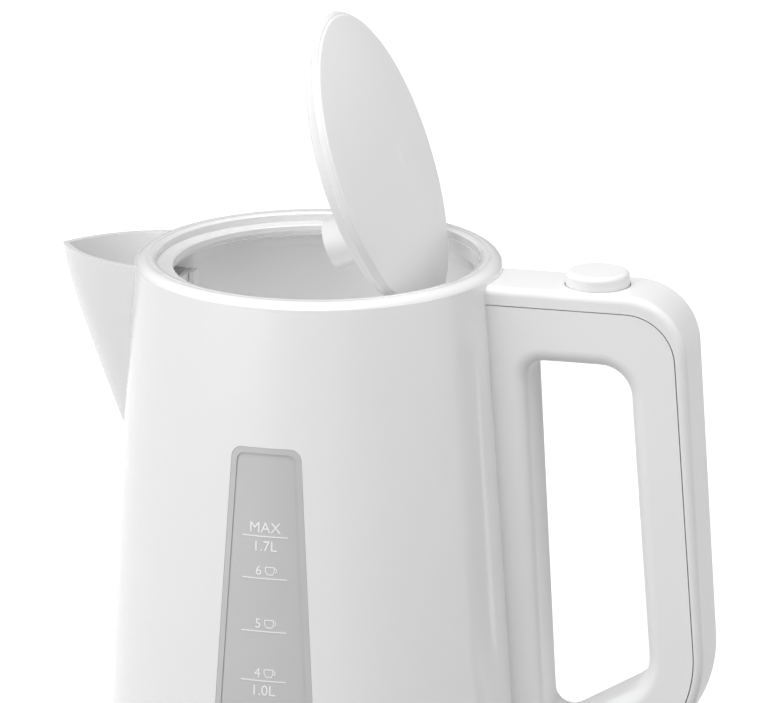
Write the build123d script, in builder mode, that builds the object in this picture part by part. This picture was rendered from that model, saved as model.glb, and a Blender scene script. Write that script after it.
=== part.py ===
"""Cordless electric kettle: tapered jug, pointed spout, loop handle, sprung lid and round power base.

Millimetres. The origin is the centre of the power base's underside, on the jug's axis. +Z is up, the
spout points along -X and the handle along +X. The lid is modelled open, as it rests on its spring.
"""
import os
from math import cos, radians, sin

from build123d import *

os.makedirs("parts", exist_ok=True)

# ---- Driving dimensions ---------------------------------------------------------------------------

RIM_Z = 235.0  # inner edge of the rim
CREASE_Z = RIM_Z - 2.0  # joint between the top collar and the jug body
JUG_BOTTOM_Z = 17.0
WALL = 2.6
TOP_RADIUS = 62.9  # outside of the jug at the crease
TAPER = 0.0758  # radius gained for each millimetre below the crease
BARREL = 3.67e-5  # and the curve that makes the side slightly barrelled

MOUTH_RADIUS = 55.4
LEDGE_RADIUS = 49.7
LEDGE_Z = RIM_Z - 2.8
SKIRT_RADIUS = 59.6  # outside of the collar's skirt, inside the jug wall
SKIRT_INNER = 57.5
SKIRT_Z = RIM_Z - 12

PLATE_Z = 43.2  # heated floor
PLATE_RADIUS = 71.2
SEAL_RADIUS = 72.1

WINDOW_TOP_Z = RIM_Z - 49
WINDOW_BOTTOM_Z = 56.0
WINDOW_TOP_HALF = 11.9
WINDOW_BOTTOM_HALF = 19.4
WINDOW_BORDER = 2.0

SPOUT_LIP_Z = RIM_Z - 1.8
SPOUT_WALL = 1.8
SPOUT_ROOT_X = -50.0

OPEN_ANGLE = 70.0
HINGE_X = 35.2
HINGE_Z = RIM_Z - 0.2
LID_RADIUS = 52.3
LID_FLANGE_RADIUS = 53.8
LID_DOME = 6.5
LID_SKIN = 1.2
DOME_RADIUS = (LID_RADIUS ** 2 + LID_DOME ** 2) / (2 * LID_DOME)
LID_SHUT_X = -1.0  # where the lid's centre stands when it is shut
LID_SHUT_Z = RIM_Z + 0.5
LID_TIER_RADIUS = 47.8
LID_DEPTH = 7.3
BOSS_X = 21.7  # round boss under the lid, towards the hinge
BOSS_RADIUS = 8.75
BOSS_DEPTH = 27.6
PIN_RADIUS = 1.0
ARM_Y = 17.0  # goose-neck arms, each side of the middle
ARM_WIDTH = 4.0
ARM_SWEEP = 19.9  # radius that carries an arm under the lid's heel

HANDLE_HALF = 13.6
STEAM_PORT_Z = 204.0
HANDLE_TOP_Z = RIM_Z - 3.3
HANDLE_WALL = 2.4
SEAM_GAP = 0.35
BUTTON_X = 97.5
BUTTON_RADIUS = 10.85
SPRING_Y = 7.2  # button springs, each side of the middle
BUTTON_TOP_Z = RIM_Z + 1.5

BASE_TOP_Z = 15.4
FOOT_HEIGHT = 1.5
CONNECTOR_RADIUS = 18.0
INLET_Z = 8.2
INLET_BORE = 3.1



def jug_radius(z):
    """Outside radius of the jug body at height z."""
    drop = CREASE_Z - z
    return TOP_RADIUS + TAPER * drop - BARREL * drop * drop


def wall_section(z_low, z_high, outer_inset, inner_inset):
    """Half-section of a shell along the jug's side, between two depths measured inwards from its surface."""
    heights = (z_low, (z_low + z_high) / 2, z_high)
    outer = [(jug_radius(z) - outer_inset, z) for z in heights]
    inner = [(jug_radius(z) - inner_inset, z) for z in reversed(heights)]
    with BuildSketch(Plane.XZ) as section:
        with BuildLine():
            ThreePointArc(*outer)
            Line(outer[2], inner[0])
            ThreePointArc(*inner)
            Line(inner[2], outer[0])
        make_face()
    return section.sketch


def solid_section(z_low, z_high, outer_inset):
    """Half-section of everything inside the jug's side."""
    heights = (z_low, (z_low + z_high) / 2, z_high)
    outer = [(jug_radius(z) - outer_inset, z) for z in heights]
    with BuildSketch(Plane.XZ) as section:
        with BuildLine():
            ThreePointArc(*outer)
            Polyline(outer[2], (0, z_high), (0, z_low), outer[0])
        make_face()
    return section.sketch


def outline(points, plane=Plane.XZ):
    """A closed polygon drawn on a plane."""
    with BuildSketch(plane) as drawing:
        Polygon(*points, align=None)
    return drawing.sketch


def bar(low, high, mode=Mode.ADD):
    """A straight block between two corners."""
    centre = tuple((a + b) / 2 for a, b in zip(low, high))
    with Locations(centre):
        Box(*[b - a for a, b in zip(low, high)], mode=mode)


def finish(builder, label):
    """Name a finished piece and write it out."""
    builder.part.label = label
    export_step(builder.part, f"parts/{label}.step")


# ---- Power base -----------------------------------------------------------------------------------

base_screw_spots = PolarLocations(66, 3, start_angle=30)

with BuildPart() as base_upper:
    with BuildSketch(Plane.XZ):
        with BuildLine():
            outer_wall = Spline((78.0, 2.4), (79.9, 6.5), (79.2, 12.5), (76.0, BASE_TOP_Z - 0.2))
            dish = Polyline(outer_wall @ 1, (70.5, BASE_TOP_Z - 0.2), (67.5, 13.6), (30, 13.6),
                            (27, BASE_TOP_Z), (20.6, BASE_TOP_Z), (19.0, 14.2), (19.0, 12.4),
                            (21.4, 12.4), (21.4, 4.2), (23.6, 4.2), (23.6, 11.4), (67.5, 11.4), (70.5, 12.6))
            inner_wall = Spline(dish @ 1, (76.4, 11.4), (77.6, 6.5), (76.0, 2.4))
            Line(inner_wall @ 1, outer_wall @ 0)
        make_face()
    revolve(axis=Axis.Z)
    with BuildSketch(Plane.XY.offset(4.2)):
        with base_screw_spots:
            Circle(3.4)
    extrude(amount=8.0)
    with BuildSketch(Plane.XY.offset(4.2)):
        with base_screw_spots:
            Circle(1.3)
    extrude(amount=6.5, mode=Mode.SUBTRACT)
    with BuildSketch(Plane((0, 70, INLET_Z), x_dir=(1, 0, 0), z_dir=(0, 1, 0))):
        Circle(4.2)
    extrude(amount=12, mode=Mode.SUBTRACT)
finish(base_upper, "base_upper")

with BuildPart() as base_lower:
    with BuildSketch(Plane.XY.offset(FOOT_HEIGHT)):
        Circle(75.2)
    extrude(amount=2.5)
    chamfer(base_lower.faces().sort_by(Axis.Z)[0].edges(), length=0.8)
    with BuildSketch(Plane.XY.offset(FOOT_HEIGHT)):
        with base_screw_spots:
            Circle(3.2)
    extrude(amount=1.2, mode=Mode.SUBTRACT)
    with BuildSketch(Plane.XY.offset(FOOT_HEIGHT)):
        with base_screw_spots:
            Circle(1.5)
    extrude(amount=4, mode=Mode.SUBTRACT)
    with BuildSketch(Plane.XY.offset(4.0)):
        Circle(15.5)
        Circle(13.5, mode=Mode.SUBTRACT)
    extrude(amount=1.2)
finish(base_lower, "base_lower")

with BuildPart() as base_feet:
    with BuildSketch(Plane.XY):
        Circle(7)
        with PolarLocations(64, 4, start_angle=45):
            Circle(7)
    extrude(amount=FOOT_HEIGHT)
    chamfer(base_feet.edges().group_by(Axis.Z)[0], length=0.5)
finish(base_feet, "base_feet")

with BuildPart() as base_screws:
    with BuildSketch(Plane.XY.offset(FOOT_HEIGHT + 0.1)):
        with base_screw_spots:
            Circle(2.9)
    extrude(amount=1.1)
    with BuildSketch(Plane.XY.offset(FOOT_HEIGHT + 1.2)):
        with base_screw_spots:
            Circle(1.25)
    extrude(amount=7.0)
    with BuildSketch(Plane.XY.offset(FOOT_HEIGHT + 0.1)):
        with base_screw_spots:
            Rectangle(3.4, 0.7)
            Rectangle(0.7, 3.4)
    extrude(amount=0.6, mode=Mode.SUBTRACT)
finish(base_screws, "base_screws")

with BuildPart() as cord_inlet:
    inlet_plane = Plane((0, 72.5, INLET_Z), x_dir=(1, 0, 0), z_dir=(0, 1, 0))
    with BuildSketch(inlet_plane):
        Circle(4.1)
        Circle(INLET_BORE, mode=Mode.SUBTRACT)
    extrude(amount=8.5)
    with BuildSketch(inlet_plane):
        SlotOverall(14, 7.4)
        Circle(INLET_BORE, mode=Mode.SUBTRACT)
    extrude(amount=2.0)
finish(cord_inlet, "cord_inlet")

with BuildPart() as terminal_carrier:
    revolve(outline([(3.0, 5.2), (15.6, 5.2), (15.6, 9.0), (3.0, 9.0)]), axis=Axis.Z)
    with BuildSketch(Plane.XY.offset(6.2)):
        with PolarLocations(9.5, 3):
            Circle(1.4)
    extrude(amount=4, mode=Mode.SUBTRACT)
finish(terminal_carrier, "terminal_carrier")

with BuildPart() as base_connector:
    tower = [(0, 9.3), (20.4, 9.3), (20.4, 12.0), (CONNECTOR_RADIUS, 12.0), (CONNECTOR_RADIUS, 23.0),
             (17.2, 24.0), (16.0, 24.0), (16.0, 13.0), (10.6, 13.0), (10.6, 24.0), (8.8, 24.0),
             (8.8, 13.0), (0, 13.0)]
    revolve(outline(tower), axis=Axis.Z)
finish(base_connector, "base_connector")

with BuildPart() as base_contacts:
    with BuildSketch(Plane.XY.offset(13.0)):
        Circle(2.2)
    extrude(amount=9.5)
    fillet(base_contacts.edges().group_by(Axis.Z)[-1], radius=1.4)
    with BuildSketch(Plane.XY.offset(13.0)):
        Circle(13.6)
        Circle(13.0, mode=Mode.SUBTRACT)
    extrude(amount=8.0)
finish(base_contacts, "base_contacts")

# ---- Jug ------------------------------------------------------------------------------------------

COVER_SCREW_RADIUS = 69.5
cover_screw_spots = PolarLocations(COVER_SCREW_RADIUS, 3, start_angle=90)


def window_outline(inset):
    """The tapered window's outline, drawn on the XZ plane."""
    slope = (WINDOW_BOTTOM_HALF - WINDOW_TOP_HALF) / (WINDOW_TOP_Z - WINDOW_BOTTOM_Z)
    top, bottom = WINDOW_TOP_Z - inset, WINDOW_BOTTOM_Z + inset
    top_half = WINDOW_TOP_HALF - inset + slope * inset
    bottom_half = WINDOW_BOTTOM_HALF - inset - slope * inset
    with BuildSketch(Plane.XZ) as drawing:
        Polygon((-top_half, top), (top_half, top), (bottom_half, bottom), (-bottom_half, bottom), align=None)
        fillet(drawing.vertices(), radius=4 - inset / 2)
    return drawing.sketch


with BuildPart() as filter_guides:
    for side in (-1, 1):
        low, high = sorted((side * 18.3, side * 21.5))
        bar((-66, low, 180), (-49.5, high, 221))
        low, high = sorted((side * 15.8, side * 21.5))
        bar((-51.2, low, 180), (-49.5, high, 221))
        bar((-66, low, 180), (-53.8, high, 221))
    bar((-66, -21.5, 180), (-49.5, 21.5, 183.7))
    revolve(solid_section(170, 226, WALL - 0.5), axis=Axis.Z, mode=Mode.INTERSECT)

with BuildPart() as jug_body:
    revolve(wall_section(JUG_BOTTOM_Z, CREASE_Z, 0, WALL), axis=Axis.Z)
    # band inside the wall that the heater's seal grips
    band = [(SEAL_RADIUS, 34.5), (jug_radius(34.5) - 1, 34.5), (jug_radius(46.5) - 1, 47.5),
            (SEAL_RADIUS, 44.6)]
    revolve(outline(band), axis=Axis.Z)
    # screw posts for the bottom cover
    with BuildSketch(Plane.XY.offset(20.2)):
        with cover_screw_spots:
            Circle(4.2)
            with Locations((3.0, 0)):
                Rectangle(4, 5)
    extrude(amount=14.4)
    with BuildSketch(Plane.XY.offset(20.2)):
        with cover_screw_spots:
            Circle(1.4)
    extrude(amount=9, mode=Mode.SUBTRACT)
    add(filter_guides.part)
    # windows on both sides, with a step that the insert's flange is welded into
    extrude(window_outline(0), amount=100, both=True, mode=Mode.SUBTRACT)
    # way out to the spout
    with BuildSketch(Plane.YZ.offset(-70)):
        with Locations((0, 205.5)):
            RectangleRounded(26, 27, 5)
    extrude(amount=18, mode=Mode.SUBTRACT)
    # steam port, latch slot and switch slot, on the handle's side
    with BuildSketch(Plane.YZ.offset(56)):
        with Locations((0, STEAM_PORT_Z)):
            Circle(3.2)
        with Locations((0, 225.8)):
            Rectangle(9.0, 4.6)
    extrude(amount=14, mode=Mode.SUBTRACT)
    with BuildSketch(Plane.YZ.offset(68)):
        with Locations((0, 27)):
            RectangleRounded(16, 9, 2)
    extrude(amount=14, mode=Mode.SUBTRACT)
finish(jug_body, "jug_body")

with BuildPart() as water_window_front:
    revolve(wall_section(WINDOW_BOTTOM_Z - 5, WINDOW_TOP_Z + 5, 0.06, WALL + 1.2), axis=Axis.Z)
    extrude(window_outline(0.08), amount=100, mode=Mode.INTERSECT)
    with BuildPart(mode=Mode.PRIVATE) as window_flange:
        revolve(wall_section(WINDOW_BOTTOM_Z - 5, WINDOW_TOP_Z + 5, WALL + 0.05, WALL + 1.2), axis=Axis.Z)
        extrude(window_outline(-2.5), amount=100, mode=Mode.INTERSECT)
    with BuildPart(mode=Mode.PRIVATE) as window_recess:
        revolve(wall_section(WINDOW_BOTTOM_Z - 5, WINDOW_TOP_Z + 5, -1, 0.45), axis=Axis.Z)
        extrude(window_outline(WINDOW_BORDER), amount=100, mode=Mode.INTERSECT)
    add(window_flange.part)
    add(window_recess.part, mode=Mode.SUBTRACT)
finish(water_window_front, "water_window_front")

with BuildPart() as water_window_rear:
    mirror(water_window_front.part, about=Plane.XZ)
finish(water_window_rear, "water_window_rear")

with BuildPart() as top_collar:
    with BuildSketch(Plane.XZ):
        with BuildLine():
            shoulder = ThreePointArc((TOP_RADIUS, CREASE_Z), (61.3, 234.7), (58.2, 235.25))
            brow = ThreePointArc(shoulder @ 1, (56.5, 235.2), (MOUTH_RADIUS, 234.6))
            Polyline(brow @ 1, (MOUTH_RADIUS, LEDGE_Z), (LEDGE_RADIUS + 0.3, LEDGE_Z),
                     (LEDGE_RADIUS, LEDGE_Z - 0.3), (LEDGE_RADIUS, LEDGE_Z - 2.1), (50.1, LEDGE_Z - 2.3),
                     (50.1, LEDGE_Z - 2.8), (50.5, LEDGE_Z - 3.0), (50.5, LEDGE_Z - 3.7),
                     (51.6, LEDGE_Z - 3.7), (SKIRT_INNER, 226), (SKIRT_INNER, SKIRT_Z),
                     (SKIRT_RADIUS, SKIRT_Z), (SKIRT_RADIUS, 231),
                     (60.2, 231.6), (60.2, CREASE_Z), (TOP_RADIUS, CREASE_Z))
        make_face()
    revolve(axis=Axis.Z)
    # the ledge stops where the lid's heel swings down
    with BuildSketch(Plane.XY.offset(SKIRT_Z)):
        Circle(MOUTH_RADIUS - 0.3)
        with Locations((-34, 0)):
            Rectangle(120, 120, mode=Mode.SUBTRACT)
    extrude(amount=LEDGE_Z + 0.5 - SKIRT_Z, mode=Mode.SUBTRACT)
    # boss behind the hinge bracket
    with BuildSketch(Plane.XY.offset(212)):
        Circle(SKIRT_RADIUS - 0.8)
        with Locations((53.4, 0)):
            Rectangle(40, 42, align=(Align.MIN, Align.CENTER), mode=Mode.INTERSECT)
    extrude(amount=13.2)
    bar((50, -4.4, 223.6), (61.6, 4.4, 232.8), mode=Mode.SUBTRACT)
    with BuildSketch(Plane.YZ.offset(50)):
        with Locations((-11, 216), (11, 216)):
            Circle(1.2)
    extrude(amount=9, mode=Mode.SUBTRACT)
finish(top_collar, "top_collar")

SPOUT_STATIONS = [(SPOUT_LIP_Z, -91.9, 25.8), (212, -86.6, 21.5), (190, -78.8, 15.5), (168, -70.7, 8.5),
                  (156, -66.4, 5.0)]


def spout_section(z, tip_x, half_width):
    """Pointed plan of the spout at one height."""
    middle = (tip_x + 0.38 * (SPOUT_ROOT_X - tip_x), 0.68 * half_width)
    with BuildSketch(Plane.XY.offset(z)) as plan:
        with BuildLine():
            near = ThreePointArc((SPOUT_ROOT_X, -half_width), (middle[0], -middle[1]), (tip_x, 0))
            far = ThreePointArc(near @ 1, middle, (SPOUT_ROOT_X, half_width))
            Line(far @ 1, near @ 0)
        make_face()
        fillet(plan.vertices().sort_by(Axis.X)[0], radius=2.2)
    return plan.sketch


with BuildPart() as spout:
    with BuildPart(mode=Mode.PRIVATE) as spout_outside:
        loft([spout_section(*station) for station in SPOUT_STATIONS])
    with BuildPart(mode=Mode.PRIVATE) as spout_inside:
        loft([spout_section(z + 1.2 * (z > 230), tip + 1.25 * SPOUT_WALL, half - SPOUT_WALL)
              for z, tip, half in SPOUT_STATIONS[:4]])
    add(spout_outside.part)
    add(spout_inside.part, mode=Mode.SUBTRACT)
    revolve(solid_section(140, 240, 0), axis=Axis.Z, mode=Mode.SUBTRACT)
finish(spout, "spout")

# ---- Spout filter ---------------------------------------------------------------------------------

with BuildPart() as filter_frame:
    with BuildSketch(Plane.YZ.offset(-53.5)):
        with Locations((0, 202.5)):
            Rectangle(35.8, 37.0)
            RectangleRounded(29.0, 30.0, 3, mode=Mode.SUBTRACT)
    extrude(amount=2.0)
    bar((-53.5, -0.7, 186.8), (-51.9, 0.7, 218.2))
finish(filter_frame, "filter_frame")

with BuildPart() as filter_mesh:
    with BuildSketch(Plane.YZ.offset(-53.2)):
        for side in (-1, 1):
            for step in range(9):
                with Locations((side * (1.9 + 1.45 * step), 202.5)):
                    Rectangle(0.35, 30.0)
            for step in range(20):
                with Locations((side * 7.6, 188.25 + 1.5 * step)):
                    Rectangle(13.6, 0.35)
    extrude(amount=0.4)
    add(filter_frame.part, mode=Mode.SUBTRACT)
finish(filter_mesh, "filter_mesh")

# ---- Lid and its hinge ----------------------------------------------------------------------------

open_cos, open_sin = cos(radians(OPEN_ANGLE)), sin(radians(OPEN_ANGLE))
reach, rise = LID_SHUT_X - HINGE_X, LID_SHUT_Z - HINGE_Z
lid_centre = (HINGE_X + reach * open_cos + rise * open_sin, 0, HINGE_Z - reach * open_sin + rise * open_cos)
lid_plane = Plane(lid_centre, x_dir=(open_cos, 0, -open_sin), z_dir=(open_sin, 0, open_cos))
lid_section = Plane(lid_centre, x_dir=(open_cos, 0, -open_sin), z_dir=(0, -1, 0))
lid_axis = Axis(lid_centre, (open_sin, 0, open_cos))
pin_x, pin_z = -reach, -rise  # the hinge pin, seen from the lid

EYE_RADIUS = 1.9
ARM_ANGLE = 245.0
ARM_THICK = 3.0

with BuildPart() as hinge_bracket:
    with BuildSketch(Plane.XZ.offset(ARM_Y - ARM_WIDTH / 2)) as arm_outline:
        with Locations((HINGE_X, HINGE_Z)):
            Circle(EYE_RADIUS)
        with Locations(Location((HINGE_X, HINGE_Z), ARM_ANGLE)):
            Rectangle(ARM_SWEEP, ARM_THICK, align=(Align.MIN, Align.CENTER))
        with BuildLine():
            inside = CenterArc((HINGE_X, HINGE_Z), ARM_SWEEP - ARM_THICK / 2, ARM_ANGLE - 4, 66)
            outside = CenterArc((HINGE_X, HINGE_Z), ARM_SWEEP + ARM_THICK / 2, ARM_ANGLE - 4, 66)
            Line(inside @ 0, outside @ 0)
            Line(inside @ 1, outside @ 1)
        make_face()
        Polygon((45.4, 215.2), (52, 213.5), (52, 219.6), (46.6, 219.6), align=None)
        with Locations((HINGE_X, HINGE_Z)):
            Circle(PIN_RADIUS + 0.03, mode=Mode.SUBTRACT)
    extrude(amount=ARM_WIDTH)
    mirror(about=Plane.XZ)
    bar((51.2, -21, 212), (53.4, 21, 223))
    with BuildSketch(Plane.YZ.offset(51)):
        with Locations((-11, 216), (11, 216)):
            Circle(1.5)
    extrude(amount=3, mode=Mode.SUBTRACT)
finish(hinge_bracket, "hinge_bracket")

with BuildPart() as hinge_screws:
    with BuildSketch(Plane.YZ.offset(49.9)):
        with Locations((-11, 216), (11, 216)):
            Circle(2.6)
            Rectangle(3.4, 0.7, mode=Mode.SUBTRACT)
    extrude(amount=1.3)
    with BuildSketch(Plane.YZ.offset(50.6)):
        with Locations((-11, 216), (11, 216)):
            Circle(1.15)
    extrude(amount=8)
finish(hinge_screws, "hinge_screws")

with BuildPart() as hinge_pin:
    with BuildSketch(Plane.XZ.offset(-19.6)):
        with Locations((HINGE_X, HINGE_Z)):
            Circle(PIN_RADIUS)
    extrude(amount=39.2)
    chamfer(hinge_pin.edges().filter_by(GeomType.CIRCLE), length=0.25)
finish(hinge_pin, "hinge_pin")

with BuildPart() as lid_top:
    with BuildSketch(lid_section):
        with BuildLine():
            face = CenterArc((0, LID_DOME - DOME_RADIUS), DOME_RADIUS, 90, -13.9)
            edge = ThreePointArc(face @ 1, (52.0, -0.1), (LID_RADIUS, -0.6))
            lining = CenterArc((0, LID_DOME - DOME_RADIUS), DOME_RADIUS - LID_SKIN, 90, -13.45)
            Line(edge @ 1, lining @ 1)
            Line(lining @ 0, face @ 0)
        make_face()
    revolve(axis=lid_axis)
finish(lid_top, "lid_top")

POCKET = [(pin_x - 2.4, 1.6), (pin_x - 2.4, -1.5), (pin_x - 5.8, -8.4), (pin_x + 10.8, -8.4),
          (pin_x + 3.5, -1.0), (pin_x + 2.4, 1.6)]

with BuildPart() as lid_bottom:
    tray = [(52.7, -0.6), (LID_FLANGE_RADIUS, -2.0), (53.5, -2.46), (LID_TIER_RADIUS, -2.46),
            (LID_TIER_RADIUS, -LID_DEPTH + 0.5), (LID_TIER_RADIUS - 0.5, -LID_DEPTH), (0, -LID_DEPTH),
            (0, -LID_DEPTH + 1.4), (46.4, -LID_DEPTH + 1.4), (46.4, -2.0), (49.4, -1.6), (49.4, -0.6)]
    revolve(outline(tray, lid_section), axis=lid_axis)
    with BuildSketch(lid_plane.offset(-BOSS_DEPTH)):
        with Locations((BOSS_X, 0)):
            Circle(BOSS_RADIUS)
    extrude(amount=BOSS_DEPTH - LID_DEPTH + 1.4)
    with BuildSketch(lid_plane.offset(-BOSS_DEPTH + 1.5)):
        with Locations((BOSS_X, 0)):
            Circle(BOSS_RADIUS - 1.5)
    extrude(amount=BOSS_DEPTH - LID_DEPTH, mode=Mode.SUBTRACT)
    with BuildSketch(lid_plane.offset(-BOSS_DEPTH)):
        with Locations((BOSS_X, 0)):
            with GridLocations(3.2, 1, 3, 1):
                SlotOverall(8, 1.4, rotation=90)
    extrude(amount=2, mode=Mode.SUBTRACT)
    # ears that turn on the hinge pin
    for side in (-1, 1):
        with BuildSketch(lid_section.offset(side * 11.5 - 2)):
            with Locations((pin_x, pin_z)):
                Circle(2.2)
            with Locations((pin_x, (pin_z - LID_DEPTH + 1) / 2)):
                Rectangle(4.4, LID_DEPTH - 1 + pin_z)
        extrude(amount=4)
        with BuildSketch(lid_section.offset(side * ARM_Y - 2.5)):
            Polygon(*POCKET, align=None)
        extrude(amount=5, mode=Mode.SUBTRACT)
    with BuildSketch(lid_section.offset(-20)):
        with Locations((pin_x, pin_z)):
            Circle(PIN_RADIUS + 0.06)
    extrude(amount=40, mode=Mode.SUBTRACT)
finish(lid_bottom, "lid_bottom")

SPRING_RADIUS = 1.85
SPRING_WIRE = 0.7
with BuildPart() as lid_spring:
    for turn in range(9):
        with BuildSketch(Plane.XZ.offset(-6.4 + 1.45 * turn)):
            with Locations((HINGE_X, HINGE_Z)):
                Circle(SPRING_RADIUS + SPRING_WIRE / 2)
                Circle(SPRING_RADIUS - SPRING_WIRE / 2, mode=Mode.SUBTRACT)
        extrude(amount=SPRING_WIRE)
    with BuildSketch(Plane.XZ.offset(-6.4)):
        with Locations(Location((HINGE_X, HINGE_Z), 180 - OPEN_ANGLE)):
            with Locations((0, SPRING_RADIUS)):
                Rectangle(9, SPRING_WIRE, align=(Align.MIN, Align.CENTER))
                Rectangle(0.7, SPRING_WIRE)
    extrude(amount=12.3)
finish(lid_spring, "lid_spring")

# ---- Heated floor and what hangs below it ---------------------------------------------------------

with BuildPart() as heater_plate:
    dish = [(0, PLATE_Z - 1.2), (70, PLATE_Z - 1.2), (70, 36), (PLATE_RADIUS, 36),
            (PLATE_RADIUS, PLATE_Z - 0.6), (PLATE_RADIUS - 0.6, PLATE_Z), (0, PLATE_Z)]
    revolve(outline(dish), axis=Axis.Z)
finish(heater_plate, "heater_plate")

with BuildPart() as heater_seal:
    lip = [(PLATE_RADIUS, 35.5), (SEAL_RADIUS, 35.5), (SEAL_RADIUS, 44.4), (69.6, 44.2), (69.6, PLATE_Z),
           (PLATE_RADIUS - 0.6, PLATE_Z), (PLATE_RADIUS, PLATE_Z - 0.6)]
    revolve(outline(lip), axis=Axis.Z)
finish(heater_seal, "heater_seal")

with BuildPart() as heat_spreader:
    with BuildSketch(Plane.XY.offset(40.2)):
        Circle(62)
        Circle(22, mode=Mode.SUBTRACT)
    extrude(amount=PLATE_Z - 1.2 - 40.2)
finish(heat_spreader, "heat_spreader")

ELEMENT_RADIUS, TUBE_RADIUS = 48.0, 3.3
with BuildPart() as heating_element:
    with BuildSketch(Plane.XZ):
        with Locations((ELEMENT_RADIUS, 36.9)):
            Circle(TUBE_RADIUS)
    revolve(axis=Axis.Z, revolution_arc=320)
    with BuildSketch(Plane.XY.offset(27)):
        with PolarLocations(ELEMENT_RADIUS, 2, start_angle=0, angular_range=40):
            Circle(TUBE_RADIUS - 0.4)
    extrude(amount=9.9)
finish(heating_element, "heating_element")

with BuildPart() as jug_connector:
    socket = [(0, 23.1), (2.7, 23.1), (2.7, 16.6), (8.3, 16.6), (8.3, 24.5), (11.0, 24.5),
              (11.0, 16.6), (12.4, 16.6), (12.4, 21.6), (14.2, 21.6), (14.2, 16.6), (15.5, 16.6),
              (15.5, 24.5), (18.5, 24.5), (18.5, 16.6), (24.0, 16.6), (24.0, 20.2), (27.0, 20.2),
              (27.0, 22.2), (24.0, 22.2), (24.0, 30.0), (0, 30.0)]
    revolve(outline(socket), axis=Axis.Z)
finish(jug_connector, "jug_connector")

with BuildPart() as control_unit:
    with BuildSketch(Plane.XY.offset(30.0)):
        RectangleRounded(50, 44, 6)
    extrude(amount=9.0)
    with BuildSketch(Plane.XY.offset(30.0)):
        with Locations((27, 8), (27, -8)):
            Rectangle(7, 5)
    extrude(amount=2.0)
finish(control_unit, "control_unit")

with BuildPart() as bimetal_disc:
    with BuildSketch(Plane.XZ):
        with BuildLine():
            crown = CenterArc((0, -80), 120.0, 90, -5.2)
            hollow = CenterArc((0, -80), 119.7, 90, -5.2)
            Line(crown @ 0, hollow @ 0)
            Line(crown @ 1, hollow @ 1)
        make_face()
    revolve(axis=Axis.Z)
finish(bimetal_disc, "bimetal_disc")

with BuildPart() as bottom_cover:
    tray = [(24.6, 17.3), (68, 17.3), (69.5, 15.5), (73.0, 15.5), (74.2, 17.3), (74.2, 20.2), (24.6, 20.2)]
    revolve(outline(tray), axis=Axis.Z)
    with BuildSketch(Plane.XY.offset(15.0)):
        with cover_screw_spots:
            Circle(3.0)
    extrude(amount=2.6, mode=Mode.SUBTRACT)
    with BuildSketch(Plane.XY.offset(15.0)):
        with cover_screw_spots:
            Circle(1.5)
    extrude(amount=6, mode=Mode.SUBTRACT)
finish(bottom_cover, "bottom_cover")

with BuildPart() as cover_screws:
    with BuildSketch(Plane.XY.offset(16.4)):
        with cover_screw_spots:
            Circle(2.7)
    extrude(amount=1.2)
    with BuildSketch(Plane.XY.offset(17.6)):
        with cover_screw_spots:
            Circle(1.25)
    extrude(amount=10)
    with BuildSketch(Plane.XY.offset(16.4)):
        with cover_screw_spots:
            Rectangle(3.4, 0.7)
            Rectangle(0.7, 3.4)
    extrude(amount=0.6, mode=Mode.SUBTRACT)
finish(cover_screws, "cover_screws")

# ---- Handle ---------------------------------------------------------------------------------------


def rounded_polygon(corners):
    """A closed outline from (x, z, radius) corners on the XZ plane."""
    with BuildSketch(Plane.XZ) as drawing:
        Polygon(*[(x, z) for x, z, _ in corners], align=None)
        for x, z, radius in corners:
            if radius:
                corner = drawing.vertices().sort_by_distance((x, z, 0))[0]
                fillet(corner, radius=radius)
    return drawing.sketch


def handle_outline(inset):
    """Outer edge of the handle: top bar, grip, lower bar and the housing of the switch."""
    return rounded_polygon([(50, HANDLE_TOP_Z - inset, 0),
                            (129.5 - inset, HANDLE_TOP_Z - inset, 21.5 - inset),
                            (140.1 - inset, 79.0 + 0.4 * inset, 46 - inset),
                            (89.5 - inset, 48.6 + 0.6 * inset, 0), (88 - inset, 24 + inset, 0),
                            (50, 24 + inset, 0)])


def finger_hole(outset):
    """The opening for the hand."""
    return rounded_polygon([(75.5 - outset, 206.3 + outset, 6 + outset / 2),
                            (111.0 + outset, 206.3 + outset, 11 + outset),
                            (119.8 + outset, 95.3 - 0.4 * outset, 15 + outset),
                            (82.9 - outset, 73.4 - 1.5 * outset, 6 + outset / 2)])


def inside_seam(gap):
    """Everything on the jug's side of the joint between the handle's shell and its cover."""
    return rounded_polygon([(40, 225.3 + gap, 0), (125.7 + gap, 225.3 + gap, 17 + gap),
                            (137.0 + gap, 81.0 - 0.4 * gap, 43 + gap), (94 + gap, 55.1 - 0.9 * gap, 0),
                            (94 + gap, 10, 0), (40, 10, 0)])


with BuildPart() as handle_whole:
    extrude(handle_outline(0), amount=HANDLE_HALF, both=True)
    sides = handle_whole.faces().filter_by(Axis.Y)
    fillet([edge for side in sides for edge in side.edges() if edge.center().X > 55], radius=2.8)
    extrude(finger_hole(0), amount=HANDLE_HALF + 1, both=True, mode=Mode.SUBTRACT)
    rims = [rim for face in handle_whole.faces().filter_by(Axis.Y) for rim in face.inner_wires()]
    fillet([edge for rim in rims for edge in rim.edges()], radius=5.0)
    extrude(handle_outline(HANDLE_WALL) - finger_hole(2.8), amount=HANDLE_HALF - HANDLE_WALL, both=True,
            mode=Mode.SUBTRACT)
    revolve(solid_section(15, 240, 0), axis=Axis.Z, mode=Mode.SUBTRACT)

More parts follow.
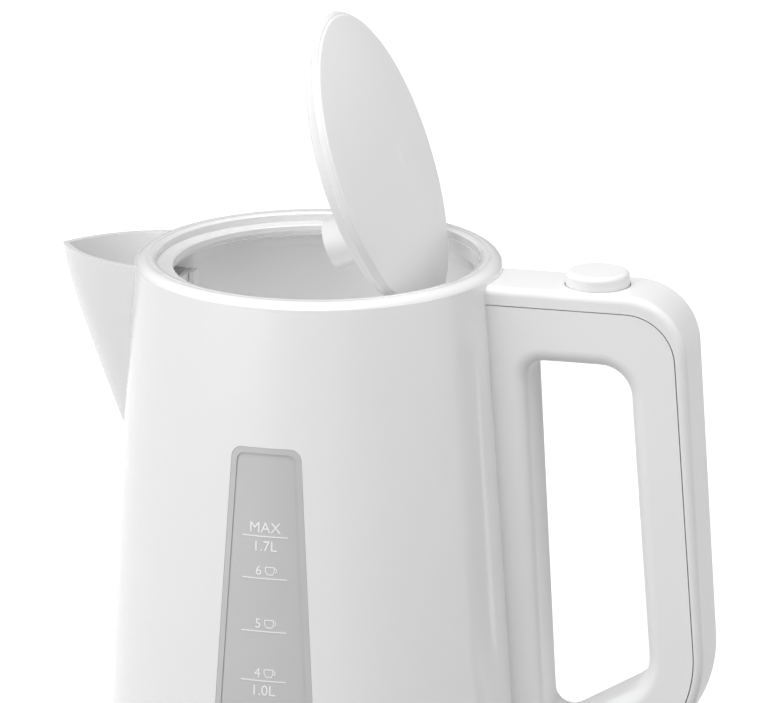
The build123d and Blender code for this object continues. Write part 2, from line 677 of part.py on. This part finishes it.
with BuildPart() as handle_shell:
    add(handle_whole.part)
    extrude(inside_seam(0), amount=30, both=True, mode=Mode.INTERSECT)
    # posts under the two button springs
    with BuildSketch(Plane.XY.offset(208.5)):
        with Locations((BUTTON_X, -SPRING_Y), (BUTTON_X, SPRING_Y)):
            Circle(2.9)
    extrude(amount=10.5)
    # slot for the switch lever
    bar((82, -7.8, 26.0), (92, 7.8, 35.4), mode=Mode.SUBTRACT)
finish(handle_shell, "handle_shell")

with BuildPart() as handle_cover:
    add(handle_whole.part)
    extrude(inside_seam(SEAM_GAP), amount=30, both=True, mode=Mode.SUBTRACT)
    with BuildSketch(Plane.XY.offset(226)):
        with Locations((BUTTON_X, 0)):
            Circle(BUTTON_RADIUS + 0.35)
    extrude(amount=10, mode=Mode.SUBTRACT)
finish(handle_cover, "handle_cover")

with BuildPart() as steam_tube:
    with BuildLine(Plane.XZ) as steam_path:
        FilletPolyline((61, STEAM_PORT_Z), (jug_radius(STEAM_PORT_Z) + 3.2, STEAM_PORT_Z),
                       (jug_radius(49) + 3.2, 49), radius=3.4)
    with BuildSketch(Plane((61, 0, STEAM_PORT_Z), x_dir=(0, 1, 0), z_dir=(1, 0, 0))):
        Circle(2.6)
        Circle(1.9, mode=Mode.SUBTRACT)
    sweep(path=steam_path.line)
finish(steam_tube, "steam_tube")

with BuildPart() as steam_thermostat:
    with BuildSketch(Plane.XY.offset(38.5)):
        with Locations((81.2, 0)):
            RectangleRounded(7.0, 16, 1.0)
    extrude(amount=8.5)
    with BuildSketch(Plane.XY.offset(47)):
        with Locations((81.2, 0)):
            Circle(2.9)
            Circle(2.0, mode=Mode.SUBTRACT)
    extrude(amount=1.4)
finish(steam_thermostat, "steam_thermostat")

SWITCH_X, SWITCH_Z = 81.0, 31.0
TRUNNION_RADIUS = 1.5

with BuildPart() as switch_frame:
    for side in (-1, 1):
        low, high = sorted((side * 8.6, side * 10.6))
        bar((78.2, low, 26.6), (84.0, high, 36))
    bar((77.0, -10.6, 26.6), (78.2, 10.6, 36))
    with BuildSketch(Plane.XZ.offset(-12)):
        with Locations((SWITCH_X, SWITCH_Z)):
            Circle(TRUNNION_RADIUS + 0.06)
    extrude(amount=24, mode=Mode.SUBTRACT)
finish(switch_frame, "switch_frame")

with BuildPart() as switch_lever:
    with BuildSketch(Plane.XZ.offset(-8.2)):
        with Locations((SWITCH_X, SWITCH_Z)):
            Circle(2.5)
    extrude(amount=16.4)
    with BuildSketch(Plane.XZ.offset(-10.4)):
        with Locations((SWITCH_X, SWITCH_Z)):
            Circle(TRUNNION_RADIUS)
    extrude(amount=20.8)
    with BuildSketch(Plane.XZ.offset(-7.2)):
        Polygon((81, 33.2), (100, 34.2), (104, 32.6), (103.2, 30.3), (90, 29.2), (81, 28.7), align=None)
    extrude(amount=14.4)
    fillet(switch_lever.faces().sort_by(Axis.X)[-1].edges(), radius=0.8)
    bar((95, -4.6, 32.8), (98.6, 4.6, 36), mode=Mode.SUBTRACT)
finish(switch_lever, "switch_lever")

with BuildPart() as indicator_lens:
    bar((95.2, -4.4, 32.9), (98.4, 4.4, 34.6))
    fillet(indicator_lens.edges().filter_by(Axis.Z), radius=0.9)
finish(indicator_lens, "indicator_lens")

with BuildPart() as wires:
    for side in (-1, 1):
        route = [(30.8, side * 8, 31), (44, side * 6.5, 29.5), (56, side * 5, 27.0), (76.8, side * 5, 27.0)]
        with BuildLine() as wire_path:
            FilletPolyline(*route, radius=8)
        with BuildSketch(Plane(route[0], z_dir=wire_path.line % 0)):
            Circle(0.9)
        sweep(path=wire_path.line)
finish(wires, "wires")

# ---- Release button and latch ---------------------------------------------------------------------

with BuildPart() as release_button:
    with BuildSketch(Plane.XY.offset(226.2)):
        with Locations((BUTTON_X, 0)):
            Circle(BUTTON_RADIUS)
    extrude(amount=BUTTON_TOP_Z - 226.2)
    fillet(release_button.edges().group_by(Axis.Z)[-1], radius=1.8)
    # tabs that stop the button under the cover
    bar((BUTTON_X - 13, -8, 226.2), (BUTTON_X + 13, 8, 227.6))
    with BuildSketch(Plane.XZ.offset(-3)):
        Polygon((93, 226.2), (100.5, 226.2), (100.5, 225.2), (98.0, 222.7), (93, 222.7), align=None)
    extrude(amount=6)
    # sockets for the springs
    with BuildSketch(Plane.XY.offset(226.2)):
        with Locations((BUTTON_X, -SPRING_Y), (BUTTON_X, SPRING_Y)):
            Circle(2.6)
    extrude(amount=3.3, mode=Mode.SUBTRACT)
finish(release_button, "release_button")

RAMP_OFFSET = 0.5
with BuildPart() as latch_slider:
    bar((69.0, -4, 215.4), (106, 4, 218.6))
    bar((66.6, -4, 215.4), (70, 4, 227.5))
    bar((53.4, -4, 224.0), (70, 4, 227.5))
    bar((53.4, -4, 224.0), (57.0, 4, 232.4))
    with BuildSketch(Plane.XZ.offset(-4)):
        foot = 98.0 + RAMP_OFFSET - (222.7 - 218.6)
        Polygon((foot, 218.6), (foot + 4.2, 222.8), (104.5, 222.8), (104.5, 218.6), align=None)
    extrude(amount=8)
    chamfer(latch_slider.faces().sort_by(Axis.Z)[-1].edges().sort_by(Axis.X)[0], length=1.6)
finish(latch_slider, "latch_slider")

with BuildPart() as button_springs:
    for side in (-1, 1):
        for turn in range(5):
            with BuildSketch(Plane((BUTTON_X, side * SPRING_Y, 219.35 + 1.55 * turn))):
                Circle(2.3)
                Circle(1.6, mode=Mode.SUBTRACT)
            extrude(amount=0.6)
            if turn < 4:
                bar((BUTTON_X + 1.6, side * SPRING_Y - 0.3, 219.35 + 1.55 * turn),
                    (BUTTON_X + 2.25, side * SPRING_Y + 0.3, 221.0 + 1.55 * turn))
finish(button_springs, "button_springs")
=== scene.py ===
"""Looks for the electric kettle: materials, printed water marks, light and camera.

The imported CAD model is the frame. Lengths here are metres in the frame's own axes: the origin is under the
power base on the jug's axis, the spout points along -X, the handle along +X, and a water window faces -Y.
"""
import math

import bmesh
import bpy
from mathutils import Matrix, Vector


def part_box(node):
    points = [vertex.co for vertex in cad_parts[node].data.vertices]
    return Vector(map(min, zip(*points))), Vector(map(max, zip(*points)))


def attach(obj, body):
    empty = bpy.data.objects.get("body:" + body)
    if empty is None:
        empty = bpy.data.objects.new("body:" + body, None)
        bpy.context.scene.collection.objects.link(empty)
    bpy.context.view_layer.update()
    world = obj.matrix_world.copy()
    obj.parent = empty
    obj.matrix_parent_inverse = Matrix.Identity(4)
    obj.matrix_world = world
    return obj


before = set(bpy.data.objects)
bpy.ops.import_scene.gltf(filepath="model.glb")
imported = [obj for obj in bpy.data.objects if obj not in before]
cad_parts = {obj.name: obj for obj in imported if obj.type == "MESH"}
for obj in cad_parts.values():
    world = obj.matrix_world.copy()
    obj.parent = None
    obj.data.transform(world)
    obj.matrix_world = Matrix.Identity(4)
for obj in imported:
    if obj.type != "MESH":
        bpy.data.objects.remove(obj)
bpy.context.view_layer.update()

MM = 0.001
CREASE_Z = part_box("jug_body")[1][2]  # top of the jug body, where the collar starts
RIM_Z = CREASE_Z + 2.0 * MM
TOP_RADIUS = 62.9 * MM  # outside of the jug at the crease
TAPER = 0.0758  # radius gained for each metre below the crease
BARREL = 0.0367  # and what the barrelled side takes off again, per metre squared


def jug_radius(z):
    """Outside radius of the jug at a height."""
    drop = CREASE_Z - z
    return TOP_RADIUS + TAPER * drop - BARREL * drop * drop


# ---- Materials ------------------------------------------------------------------------------------

DRIFT_SCALE = 14.0  # slow drift of the colour
GLOSS_SCALE = 60.0  # patches of more and less gloss
LOWEST_ROUGHNESS = 0.02
COAT_ROUGHNESS = 0.06
SCATTER_RADIUS = (4.0 * MM, 4.0 * MM, 4.0 * MM)
BRUSH_STRETCH = (4.0, 4.0, 600.0)


def noise(tree, vector, scale, detail):
    """The strength of a noise texture that is read at a vector."""
    texture = tree.nodes.new("ShaderNodeTexNoise")
    texture.inputs["Scale"].default_value = scale
    texture.inputs["Detail"].default_value = detail
    tree.links.new(vector, texture.inputs["Vector"])
    return texture.outputs["Fac"]


def add_bump(tree, height, strength, depth):
    """Let a texture's strength raise and lower the surface."""
    bump = tree.nodes.new("ShaderNodeBump")
    bump.inputs["Strength"].default_value = strength
    bump.inputs["Distance"].default_value = depth
    tree.links.new(height, bump.inputs["Height"])
    tree.links.new(bump.outputs["Normal"], tree.nodes["Principled BSDF"].inputs["Normal"])


def base_material(name, colour, roughness, spread, tint, inputs):
    """A material with a faint drift of colour and an uneven gloss, and its object coordinates.

    inputs holds further values for the shader, by the name of the shader's input.
    """
    material = bpy.data.materials.new(name)
    material.use_nodes = True
    tree = material.node_tree
    shader = tree.nodes["Principled BSDF"]
    place = tree.nodes.new("ShaderNodeTexCoord").outputs["Object"]

    drift = tree.nodes.new("ShaderNodeValToRGB")
    low, high = drift.color_ramp.elements
    low.position = 0.3
    high.position = 0.7
    low.color = (*[max(channel - tint, 0) for channel in colour], 1)
    high.color = (*[min(channel + tint, 1) for channel in colour], 1)
    tree.links.new(noise(tree, place, DRIFT_SCALE, 3.0), drift.inputs["Fac"])
    tree.links.new(drift.outputs["Color"], shader.inputs["Base Color"])

    gloss = tree.nodes.new("ShaderNodeMapRange")
    gloss.inputs["To Min"].default_value = max(roughness - spread, LOWEST_ROUGHNESS)
    gloss.inputs["To Max"].default_value = roughness + spread
    tree.links.new(noise(tree, place, GLOSS_SCALE, 4.0), gloss.inputs["Value"])
    tree.links.new(gloss.outputs["Result"], shader.inputs["Roughness"])

    shader.inputs["IOR"].default_value = 1.46
    shader.inputs["Coat Roughness"].default_value = COAT_ROUGHNESS
    shader.inputs["Subsurface Radius"].default_value = SCATTER_RADIUS
    for label, value in inputs.items():
        shader.inputs[label].default_value = value
    return material, place


def plastic(name, colour, roughness, spread=0.03, tint=0.012, grain=9000.0, depth=0.01 * MM, inputs=None):
    """Moulded plastic or rubber with a very fine grain."""
    material, place = base_material(name, colour, roughness, spread, tint, inputs or {})
    add_bump(material.node_tree, noise(material.node_tree, place, grain, 2.0), 0.25, depth)
    return material


def brushed(name, colour, roughness):
    """Metal with fine brush lines along one direction."""
    material, place = base_material(name, colour, roughness, 0.03, 0.03, {"Metallic": 1.0})
    tree = material.node_tree
    mapping = tree.nodes.new("ShaderNodeMapping")
    mapping.inputs["Scale"].default_value = BRUSH_STRETCH
    tree.links.new(place, mapping.inputs["Vector"])
    add_bump(tree, noise(tree, mapping.outputs["Vector"], 8.0, 6.0), 0.3, 0.03 * MM)
    return material


def grey(level):
    """A neutral colour."""
    return (level, level, level)


WHITE = grey(0.80)
MATERIALS = {
    "gloss": plastic("white_gloss", WHITE, 0.22, spread=0.02, tint=0.006,
                     inputs={"Coat Weight": 1.0, "Subsurface Weight": 0.5}),
    "lid": plastic("white_lid", WHITE, 0.45, tint=0.006),
    "satin": plastic("white_satin", grey(0.78), 0.38, spread=0.04, tint=0.008, grain=14000.0,
                     depth=0.02 * MM),
    "window": plastic("window_grey", grey(0.52), 0.22, tint=0.02, inputs={"Coat Weight": 0.3}),
    "print": plastic("print_white", grey(0.88), 0.5, tint=0.01),
    "dark": plastic("dark_plastic", (0.03, 0.03, 0.032), 0.45, tint=0.006, depth=0.03 * MM),
    "rubber": plastic("rubber_grey", (0.16, 0.16, 0.165), 0.7, tint=0.02, depth=0.05 * MM,
                      inputs={"Specular IOR Level": 0.3}),
    "steel": brushed("steel", (0.62, 0.62, 0.63), 0.28),
    "aluminium": brushed("aluminium", (0.7, 0.7, 0.71), 0.36),
    "brass": brushed("brass", (0.72, 0.52, 0.22), 0.25),
    "switch": plastic("switch_grey", (0.42, 0.42, 0.43), 0.35),
    "lens": plastic("lens", (0.65, 0.12, 0.05), 0.15, tint=0.02,
                    inputs={"Transmission Weight": 0.5, "Coat Weight": 0.5}),
}

NODES_MADE_OF = {
    "gloss": ["jug_body", "top_collar", "spout", "base_upper"],
    "lid": ["lid_top"],
    "satin": ["handle_shell", "handle_cover", "lid_bottom", "release_button", "hinge_bracket",
              "filter_frame", "bottom_cover"],
    "window": ["water_window_front", "water_window_rear"],
    "dark": ["base_lower", "terminal_carrier", "base_connector", "jug_connector", "control_unit",
             "steam_thermostat", "switch_frame", "latch_slider"],
    "rubber": ["base_feet", "cord_inlet", "heater_seal", "steam_tube", "wires"],
    "steel": ["heater_plate", "hinge_pin", "hinge_screws", "base_screws", "cover_screws",
              "button_springs", "lid_spring", "filter_mesh", "bimetal_disc"],
    "aluminium": ["heat_spreader", "heating_element"],
    "brass": ["base_contacts"],
    "switch": ["switch_lever"],
    "lens": ["indicator_lens"],
}


def dress_frame():
    """Give every CAD node its material."""
    for material, names in NODES_MADE_OF.items():
        for name in names:
            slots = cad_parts[name].data.materials
            slots.clear()
            slots.append(MATERIALS[material])


# ---- Printed water marks --------------------------------------------------------------------------
# Each window's marks are drawn flat, x across and y for height, and then wrapped onto the pane.

PANE_RECESS = 0.45 * MM  # the pane's face, behind the jug's outer surface
PRINT_LIFT = 0.05 * MM  # keeps the print clear of the pane
PRINT_THICKNESS = 0.06 * MM
LINE_HALF = 7.8 * MM
LINE_WIDTH = 0.34 * MM
LINE_PIECES = 12
LONGEST_EDGE = 1.2 * MM  # longer edges are cut up, so that the print follows the curved pane

MAX_Z = RIM_Z - 79.3 * MM
SIX_CUPS_Z = RIM_Z - 93.8 * MM
FIVE_CUPS_Z = RIM_Z - 112.1 * MM
FOUR_CUPS_Z = RIM_Z - 129.25 * MM
CUP_STEP = 17.8 * MM
THREE_CUPS_Z = FOUR_CUPS_Z - CUP_STEP
TWO_CUPS_Z = FOUR_CUPS_Z - 2 * CUP_STEP

WORD_SIZE = 5.0 * MM
WORD_DROP = 5.0 * MM  # from a line to the foot of the word under it
MAX_SIZE = 5.1 * MM
MAX_RISE = 1.3 * MM
DIGIT_SIZE = 4.6 * MM
DIGIT_X = -2.0 * MM
DIGIT_RISE = 1.2 * MM  # from a line to the foot of the number over it
CUP_X = 1.9 * MM
CUP_RISE = 1.3 * MM
CUP_HALF = 1.55 * MM
CUP_HEIGHT = 2.7 * MM
CUP_HANDLE = 0.75 * MM


def ribbon(drawing, points):
    """A flat strip of a line's width along a path."""
    left, right = [], []
    for index, point in enumerate(points):
        before = points[max(index - 1, 0)]
        after = points[min(index + 1, len(points) - 1)]
        along = (Vector(after) - Vector(before)).normalized()
        across = Vector((-along.y, along.x)) * LINE_WIDTH / 2
        left.append(drawing.verts.new((point[0] + across.x, point[1] + across.y, 0)))
        right.append(drawing.verts.new((point[0] - across.x, point[1] - across.y, 0)))
    for index in range(len(points) - 1):
        drawing.faces.new((left[index], right[index], right[index + 1], left[index + 1]))


def line_mark(drawing, z):
    """The line at one level."""
    ribbon(drawing, [(LINE_HALF * (2 * i / LINE_PIECES - 1), z) for i in range(LINE_PIECES + 1)])


def cup_mark(drawing, x, z):
    """A little cup with its foot at a height: the bowl, the brim and the handle."""
    brim_z = z + CUP_HEIGHT
    belly_z = z + 0.45 * CUP_HEIGHT
    foot_z = z + 0.12 * MM
    right_side = [(CUP_HALF * 0.62, foot_z), (CUP_HALF * 0.96, belly_z), (CUP_HALF, brim_z)]
    left_side = [(-half, height) for half, height in reversed(right_side)]
    ribbon(drawing, [(x + half, height) for half, height in left_side + right_side])
    ribbon(drawing, [(x - CUP_HALF, brim_z), (x + CUP_HALF, brim_z)])
    handle_x = x + CUP_HALF
    handle_z = z + 0.58 * CUP_HEIGHT
    turns = [math.radians(angle) for angle in range(70, -71, -20)]
    ribbon(drawing, [(handle_x + CUP_HANDLE * math.cos(turn), handle_z + CUP_HANDLE * math.sin(turn))
                     for turn in turns])


def word_mark(drawing, word, size, x, z):
    """Flat lettering with its foot at a height."""
    curve = bpy.data.curves.new("mark_text", "FONT")
    curve.body = word
    curve.size = size
    curve.align_x = "CENTER"
    writer = bpy.data.objects.new("mark_text", curve)
    bpy.context.scene.collection.objects.link(writer)
    bpy.context.view_layer.update()
    mesh = bpy.data.meshes.new_from_object(writer.evaluated_get(bpy.context.evaluated_depsgraph_get()))
    bpy.data.objects.remove(writer)
    for vertex in mesh.vertices:
        vertex.co = Vector((vertex.co.x + x, vertex.co.y + z, 0))
    drawing.from_mesh(mesh)
    bpy.data.meshes.remove(mesh)


def thicken(drawing):
    """Cut the flat drawing small enough to bend and give it a thickness."""
    bmesh.ops.triangulate(drawing, faces=drawing.faces)
    long_edges = [edge for edge in drawing.edges if edge.calc_length() > LONGEST_EDGE]
    bmesh.ops.subdivide_edges(drawing, edges=long_edges, cuts=2)
    extruded = bmesh.ops.extrude_face_region(drawing, geom=drawing.faces[:])["geom"]
    for vertex in [item for item in extruded if isinstance(item, bmesh.types.BMVert)]:
        vertex.co.z += PRINT_THICKNESS
    bmesh.ops.recalc_face_normals(drawing, faces=drawing.faces)


def lay_on_pane(mesh, side):
    """Wrap a flat drawing onto the window that faces -Y (side -1) or +Y (side 1)."""
    for vertex in mesh.vertices:
        x, z, lift = vertex.co
        radius = jug_radius(z) - PANE_RECESS + PRINT_LIFT + lift
        vertex.co = Vector((-side * x, side * math.sqrt(radius * radius - x * x), z))
    mesh.update()


def make_marks(side, name):
    """All the printing on one window, as one piece that goes with the jug."""
    drawing = bmesh.new()
    cup_levels = {"6": SIX_CUPS_Z, "5": FIVE_CUPS_Z, "4": FOUR_CUPS_Z, "3": THREE_CUPS_Z, "2": TWO_CUPS_Z}
    for z in (MAX_Z, *cup_levels.values()):
        line_mark(drawing, z)
    word_mark(drawing, "MAX", MAX_SIZE, 0, MAX_Z + MAX_RISE)
    for word, z in (("1.7L", MAX_Z), ("1.0L", FOUR_CUPS_Z), ("0.5L", TWO_CUPS_Z)):
        word_mark(drawing, word, WORD_SIZE, 0, z - WORD_DROP)
    for digit, z in cup_levels.items():
        cup_mark(drawing, CUP_X, z + CUP_RISE)
        word_mark(drawing, digit, DIGIT_SIZE, DIGIT_X, z + DIGIT_RISE)
    thicken(drawing)
    mesh = bpy.data.meshes.new(name)
    drawing.to_mesh(mesh)
    drawing.free()
    lay_on_pane(mesh, side)
    mesh.materials.append(MATERIALS["print"])
    marks = bpy.data.objects.new(name, mesh)
    bpy.context.scene.collection.objects.link(marks)
    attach(marks, "jug")


# ---- Studio ---------------------------------------------------------------------------------------

CAMERA_PLACE = (0.4669, -1.6712, RIM_Z + 0.4786)
CAMERA_TILT = 73.5278  # degrees up from looking straight down
CAMERA_TURN = 14.8515  # degrees round from looking along +Y
CAMERA_LENS = 245.98  # millimetres, on a sensor this wide:
SENSOR_WIDTH = 36.0
FAR_CLIP = 50.0
LIT_POINT = (0, 0, 0.15)  # the middle of the kettle
WORLD_LIGHT = 0.26
FLOOR_HALF = 12.0
FLOOR_GLOW = 0.98


def make_camera():
    """A long lens, looking a little down on the kettle from the front right."""
    camera = bpy.data.objects.new("camera", bpy.data.cameras.new("camera"))
    camera.data.sensor_width = SENSOR_WIDTH
    camera.data.lens = CAMERA_LENS
    camera.data.clip_end = FAR_CLIP
    camera.location = CAMERA_PLACE
    camera.rotation_euler = (math.radians(CAMERA_TILT), 0, math.radians(CAMERA_TURN))
    bpy.context.scene.collection.objects.link(camera)
    bpy.context.scene.camera = camera


def panel_light(name, place, target, size, power):
    """A rectangular light at a place, turned towards a target."""
    light = bpy.data.lights.new(name, "AREA")
    light.shape = "RECTANGLE"
    light.size, light.size_y = size
    light.energy = power
    lamp = bpy.data.objects.new(name, light)
    lamp.location = place
    lamp.rotation_euler = (Vector(target) - Vector(place)).to_track_quat("-Z", "Y").to_euler()
    bpy.context.scene.collection.objects.link(lamp)
    return lamp


def softbox(name, azimuth, height, distance, size, radiance):
    """A soft panel that faces the kettle. Azimuth is in degrees in plan from -Y, positive towards +X."""
    turn = math.radians(azimuth)
    place = (distance * math.sin(turn), -distance * math.cos(turn), height)
    panel_light(name, place, LIT_POINT, size, radiance * math.pi * size[0] * size[1])


def make_lights():
    """Dim even surroundings, softboxes on three sides and a small lamp that fills the jug's inside."""
    world = bpy.data.worlds.new("studio")
    world.use_nodes = True
    background = world.node_tree.nodes["Background"]
    background.inputs["Color"].default_value = (1, 1, 1, 1)
    background.inputs["Strength"].default_value = WORLD_LIGHT
    bpy.context.scene.world = world
    bpy.context.scene.view_settings.view_transform = "Standard"
    softbox("left_panel", azimuth=-36, height=0.6, distance=1.9, size=(1.8, 1.9), radiance=2.8)
    softbox("right_panel", azimuth=78, height=0.6, distance=1.8, size=(1.1, 1.9), radiance=1.7)
    softbox("top_panel", azimuth=0, height=1.7, distance=0.2, size=(1.5, 1.5), radiance=3.5)
    fill = panel_light("inside_fill", place=(0, -0.02, 0.09), target=(-0.02, 0.05, 0.23),
                       size=(0.07, 0.07), power=0.065)
    fill.visible_camera = False
    softbox("mouth_panel", azimuth=10, height=1.5, distance=0.9, size=(0.6, 0.5), radiance=0.8)


def make_floor():
    """A plain white floor that lights the kettle in reflections only."""
    drawing = bmesh.new()
    bmesh.ops.create_grid(drawing, x_segments=2, y_segments=2, size=FLOOR_HALF)
    mesh = bpy.data.meshes.new("floor")
    drawing.to_mesh(mesh)
    drawing.free()
    paper = bpy.data.materials.new("studio_paper")
    paper.use_nodes = True
    shader = paper.node_tree.nodes["Principled BSDF"]
    shader.inputs["Base Color"].default_value = (*grey(0.2), 1)
    shader.inputs["Roughness"].default_value = 0.9
    shader.inputs["Emission Color"].default_value = (1, 1, 1, 1)
    shader.inputs["Emission Strength"].default_value = FLOOR_GLOW
    mesh.materials.append(paper)
    floor = bpy.data.objects.new("floor", mesh)
    bpy.context.scene.collection.objects.link(floor)
    floor.visible_diffuse = False


make_camera()
make_lights()
make_floor()
dress_frame()
make_marks(-1, "marks_front")
make_marks(1, "marks_rear")
